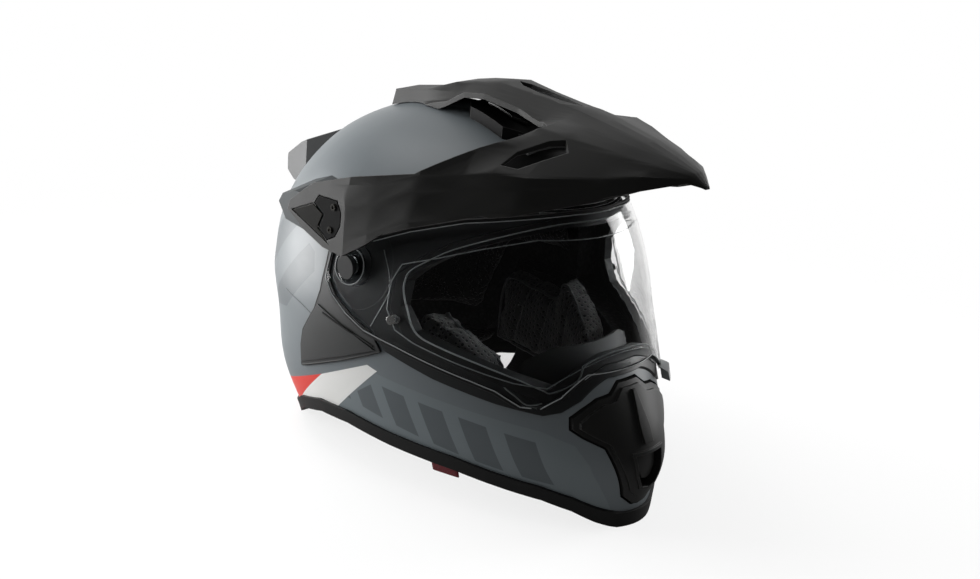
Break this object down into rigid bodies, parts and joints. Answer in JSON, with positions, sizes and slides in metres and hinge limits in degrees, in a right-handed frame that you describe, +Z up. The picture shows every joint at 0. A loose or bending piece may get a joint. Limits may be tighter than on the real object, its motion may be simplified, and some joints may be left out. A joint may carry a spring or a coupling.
{
  "type": "dual sport helmet",
  "caption": "Full-face dual sport helmet with a lifting clear face shield, a tilting peak on lockable arms, sliding vents and a padded inside.",
  "frame": {"origin": "on the surface the helmet stands on, in the mirror plane, below the wearer's ear line, at the middle of the head opening", "axes": "+Z up, the wearer looks along -Y, +X towards the wearer's left"},
  "size_m": [0.2732, 0.3899, 0.288],
  "materials": {
    "shell_paint": "satin grey clearcoat over composite shell",
    "black_plastic": "matte moulded plastic",
    "rubber": "soft black rubber",
    "foam": "moulded foam",
    "fabric": "mesh lining fabric",
    "lens": "clear hard coated shield",
    "insert": "clear anti-fog insert",
    "steel": "stamped steel",
    "webbing": "woven webbing",
    "red_tab": "red woven tab",
    "lever": "bronze grey moulded plastic",
    "grey_plastic": "satin grey moulded plastic",
    "mesh": "fine moulded mesh"
  },
  "bodies": {
    "shell": {"outer_shell": "shell_paint", "impact_liner": "foam", "chin_liner": "foam", "cheek_foam_right": "foam", "cheek_foam_left": "foam", "comfort_liner": "fabric", "neck_roll": "fabric", "cheek_pad_right": "fabric", "cheek_pad_left": "fabric", "breath_deflector": "rubber", "eyeport_gasket": "rubber", "edge_trim": "rubber", "eyeport_surround": "black_plastic", "side_cover_right": "black_plastic", "side_cover_left": "black_plastic", "chin_vent_frame": "black_plastic", "brow_vent": "black_plastic", "crown_vent_housing": "black_plastic", "rear_spoiler": "black_plastic", "shield_base_plate_right": "black_plastic", "shield_base_plate_left": "black_plastic", "shield_pivot_cap_right": "black_plastic", "shield_pivot_cap_left": "black_plastic", "chin_vent_mesh": "mesh", "rear_vent_mesh": "mesh", "strap_rivet_right": "steel", "strap_rivet_left": "steel", "strap_ring_lower": "steel", "strap_ring_upper": "steel", "peak_mount_right": "grey_plastic", "peak_mount_left": "grey_plastic", "chin_strap_right": "webbing", "chin_strap_left": "webbing", "release_tab_right": "red_tab", "release_tab_left": "red_tab"},
    "shield": {"shield_lens": "lens", "antifog_insert": "insert", "insert_pin_right": "steel", "insert_pin_left": "steel", "shield_pivot_ring_right": "black_plastic", "shield_pivot_ring_left": "black_plastic"},
    "peak": {"peak_shell": "black_plastic", "lock_plate_right": "black_plastic", "lock_plate_left": "black_plastic", "lock_screws": "steel"},
    "lock_lever_right": {"lock_lever_right": "lever"},
    "lock_lever_left": {"lock_lever_left": "lever"},
    "chin_vent_slider": {"chin_vent_slider": "black_plastic"},
    "crown_vent_slider": {"crown_vent_slider": "black_plastic"}
  },
  "joints": [
    {"name": "shield_lift", "type": "hinge", "parent": "shell", "child": "shield", "pos_m": [0, -0.00801, 0.16008], "axis": [-1, 0, 0], "range_deg": [0, 40]},
    {"name": "peak_tilt", "type": "hinge", "parent": "shell", "child": "peak", "pos_m": [0, 0.01799, 0.191], "axis": [-1, 0, 0], "range_deg": [-6, 0]},
    {"name": "lock_lever_right_flip", "type": "hinge", "parent": "peak", "child": "lock_lever_right", "pos_m": [-0.1356, 0.01005, 0.17606], "axis": [0, -0.9488, -0.316], "range_deg": [0, 40]},
    {"name": "lock_lever_left_flip", "type": "hinge", "parent": "peak", "child": "lock_lever_left", "pos_m": [0.1356, 0.01005, 0.17606], "axis": [0, 0.9488, 0.316], "range_deg": [0, 40]},
    {"name": "chin_vent_slide", "type": "slide", "parent": "shell", "child": "chin_vent_slider", "axis": [0, 0, -1], "range_m": [0, 0.003]},
    {"name": "crown_vent_slide", "type": "slide", "parent": "shell", "child": "crown_vent_slider", "axis": [0, -0.9975, -0.0707], "range_m": [0, 0.005]}
  ]
}
